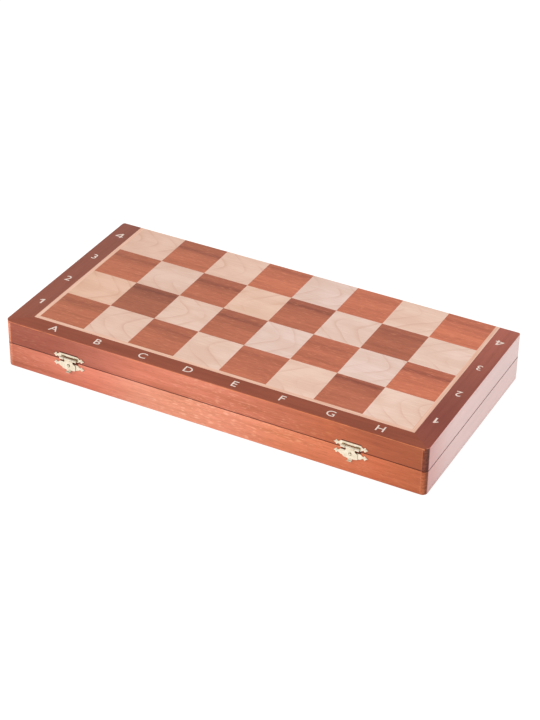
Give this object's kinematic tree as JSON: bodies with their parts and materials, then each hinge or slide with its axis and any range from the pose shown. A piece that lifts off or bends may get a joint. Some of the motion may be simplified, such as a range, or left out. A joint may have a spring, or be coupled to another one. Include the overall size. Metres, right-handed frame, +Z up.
{
  "type": "folding chess set",
  "caption": "Flat folding wooden chess case with an inlaid board outside, back hinges, front latches and a lined, divided inside that holds turned chess men.",
  "frame": {"origin": "middle of the bounding box, on the surface the closed case stands on", "axes": "+X along the files from A to H, +Y from the latches towards the hinges, +Z up"},
  "size_m": [0.488, 0.2462, 0.056],
  "materials": {
    "mahogany": "satin lacquer",
    "border_veneer": "satin lacquer",
    "dark_veneer": "satin lacquer",
    "light_veneer": "satin lacquer",
    "felt": "felt",
    "brass": "polished",
    "divider_wood": "satin",
    "boxwood": "lacquered",
    "rosewood": "lacquered"
  },
  "bodies": {
    "lower_half": {"lower_front_wall": "mahogany", "lower_back_wall": "mahogany", "lower_left_wall": "mahogany", "lower_right_wall": "mahogany", "lower_board_core": "mahogany", "lower_stringing": "light_veneer", "lower_border_veneer": "border_veneer", "lower_lining": "felt", "lower_dark_squares": "dark_veneer", "lower_light_squares": "light_veneer", "left_hinge_lower_leaf": "brass", "left_hinge_pin": "brass", "left_latch_catch_plate": "brass", "right_hinge_lower_leaf": "brass", "right_hinge_pin": "brass", "right_latch_catch_plate": "brass", "hinge_lower_nails": "brass", "latch_catch_nails": "brass", "long_divider": "divider_wood", "cross_dividers": "divider_wood", "light_king": "boxwood", "light_queen": "boxwood", "light_bishops": "boxwood", "light_knights": "boxwood", "light_rooks": "boxwood", "light_pawns": "boxwood", "dark_king": "rosewood", "dark_queen": "rosewood", "dark_bishops": "rosewood", "dark_knights": "rosewood", "dark_rooks": "rosewood", "dark_pawns": "rosewood"},
    "upper_half": {"upper_front_wall": "mahogany", "upper_back_wall": "mahogany", "upper_left_wall": "mahogany", "upper_right_wall": "mahogany", "upper_board_core": "mahogany", "upper_stringing": "light_veneer", "upper_border_veneer": "border_veneer", "upper_lining": "felt", "upper_dark_squares": "dark_veneer", "upper_light_squares": "light_veneer", "left_hinge_upper_leaf": "brass", "left_latch_top_plate": "brass", "left_latch_pin": "brass", "right_hinge_upper_leaf": "brass", "right_latch_top_plate": "brass", "right_latch_pin": "brass", "hinge_upper_nails": "brass", "latch_top_nails": "brass"},
    "left_hasp": {"left_latch_hasp": "brass"},
    "right_hasp": {"right_latch_hasp": "brass"}
  },
  "joints": [
    {"name": "lid_hinge", "type": "hinge", "parent": "lower_half", "child": "upper_half", "pos_m": [0, 0.12102, 0.028], "axis": [-1, 0, 0], "range_deg": [0, 180]},
    {"name": "left_hasp_pivot", "type": "hinge", "parent": "upper_half", "child": "left_hasp", "pos_m": [-0.1658, -0.12093, 0.0314], "axis": [-1, 0, 0], "range_deg": [0, 150]},
    {"name": "right_hasp_pivot", "type": "hinge", "parent": "upper_half", "child": "right_hasp", "pos_m": [0.1622, -0.12093, 0.0314], "axis": [-1, 0, 0], "range_deg": [0, 150]}
  ]
}
